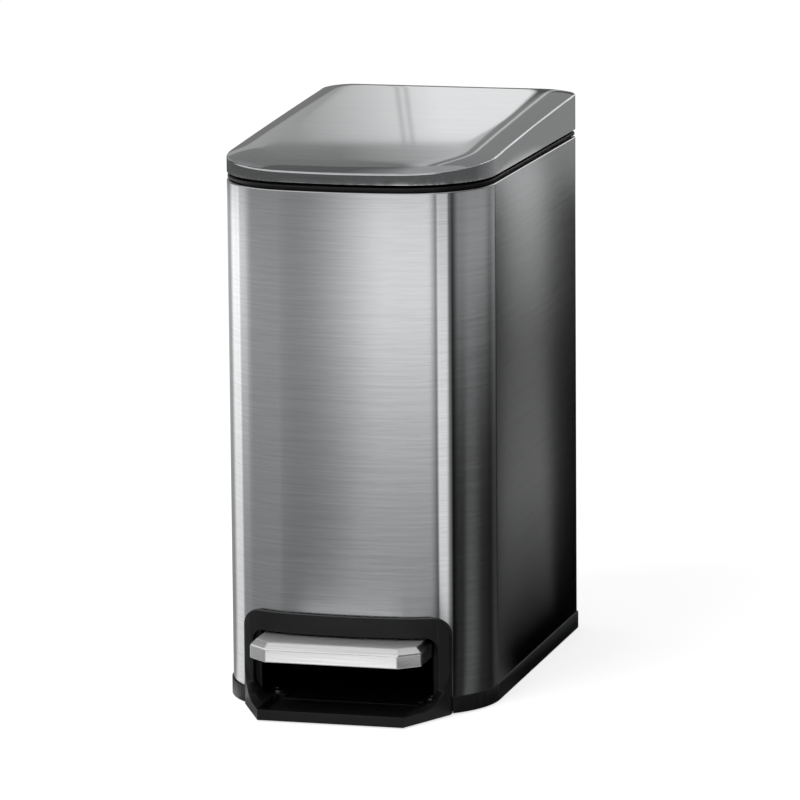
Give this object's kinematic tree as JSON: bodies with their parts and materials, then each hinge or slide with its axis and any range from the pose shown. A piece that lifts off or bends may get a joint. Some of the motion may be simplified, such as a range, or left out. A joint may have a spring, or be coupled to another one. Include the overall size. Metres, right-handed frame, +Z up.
{
  "type": "pedal bin",
  "caption": "Slim free-standing waste bin with a bowed brushed steel body, a sloping soft-close lid worked by a foot pedal in a black surround, and a lift-out inner bucket.",
  "frame": {"origin": "on the floor, under the middle of the bounding box", "axes": "+Z up, the pedal side faces -Y, +X to the right of someone facing the pedal"},
  "size_m": [0.1442, 0.2592, 0.3001],
  "materials": {
    "body_steel": "brushed",
    "lid_steel": "brushed and clear coated",
    "pedal_steel": "satin",
    "black_plastic": "satin moulded",
    "bucket_plastic": "fine grain moulded",
    "guide_nylon": "plain moulded",
    "damper_plastic": "plain moulded",
    "lever_steel": "black coated",
    "zinc_steel": "zinc plated",
    "rubber": "matt"
  },
  "bodies": {
    "body": {"outer_shell": "body_steel", "base_tray": "black_plastic", "rubber_feet": "rubber", "pedal_surround": "black_plastic", "surround_screws": "zinc_steel", "cover_screws": "zinc_steel", "top_collar": "black_plastic", "inner_bucket": "bucket_plastic", "mechanism_cover": "black_plastic", "rod_guide": "guide_nylon", "hinge_pin": "zinc_steel", "hinge_pin_clips": "zinc_steel", "pedal_axle": "zinc_steel", "pedal_axle_clips": "zinc_steel", "damper_bracket": "black_plastic", "damper_cylinder": "damper_plastic"},
    "lid": {"lid_shell": "lid_steel", "lid_liner": "black_plastic", "lid_crank": "lever_steel", "crank_screws": "zinc_steel", "lid_bumpers": "rubber"},
    "pedal": {"pedal_lever": "lever_steel", "pedal_cap": "pedal_steel"},
    "rod": {"push_rod": "zinc_steel", "rod_clips": "zinc_steel", "damper_piston": "zinc_steel", "damper_link": "black_plastic"}
  },
  "joints": [
    {"name": "lid_hinge", "type": "hinge", "parent": "body", "child": "lid", "pos_m": [0, 0.12335, 0.2931], "axis": [-1, 0, 0], "range_deg": [0, 80]},
    {"name": "pedal_hinge", "type": "hinge", "parent": "body", "child": "pedal", "pos_m": [0, -0.03315, 0.02598], "axis": [1, 0, 0], "range_deg": [0, 14.02]},
    {"name": "rod_slide", "type": "slide", "parent": "body", "child": "rod", "axis": [0, 0, 1], "range_m": [0, 0.03357]}
  ],
  "couplings": [
    {"joint": "pedal_hinge", "follows": "lid_hinge", "ratio": 0.1752},
    {"joint": "rod_slide", "follows": "lid_hinge", "m_per_rad": 0.024038}
  ]
}
